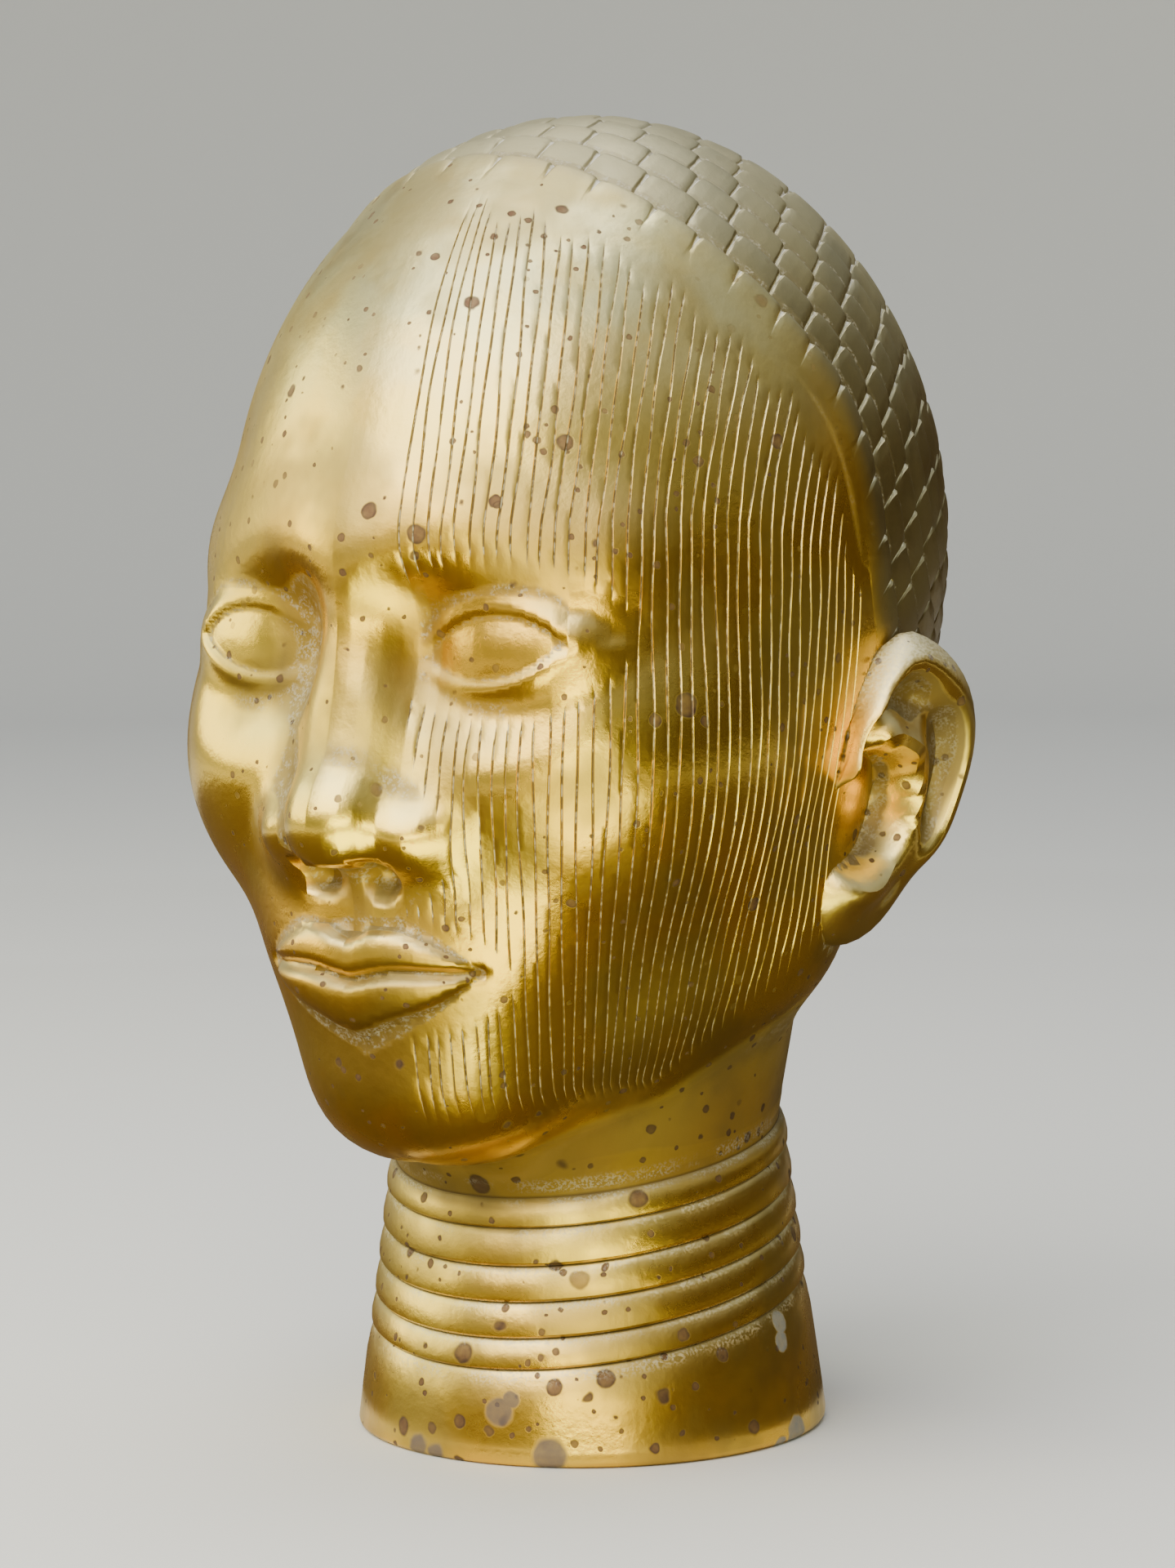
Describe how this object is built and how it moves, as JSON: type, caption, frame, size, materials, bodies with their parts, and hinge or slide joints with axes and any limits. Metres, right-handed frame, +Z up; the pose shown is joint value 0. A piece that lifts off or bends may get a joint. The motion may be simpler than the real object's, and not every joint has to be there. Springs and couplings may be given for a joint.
{
  "type": "brass head",
  "caption": "Life-size cast brass head with a cap of tiled hair, large ears, a ringed neck and a plain flaring base that stands on its flat underside.",
  "frame": {"origin": "centre of the flat round underside of the neck", "axes": "+Z up, the face looks along -Y, the head's own left ear is towards +X"},
  "size_m": [0.1762, 0.2023, 0.3011],
  "materials": {
    "brass": "polished cast brass with dark tarnish spots, duller on the hair, with pale polish residue in the cuts"
  },
  "bodies": {
    "root": {"brass_head": "brass"}
  },
  "joints": []
}
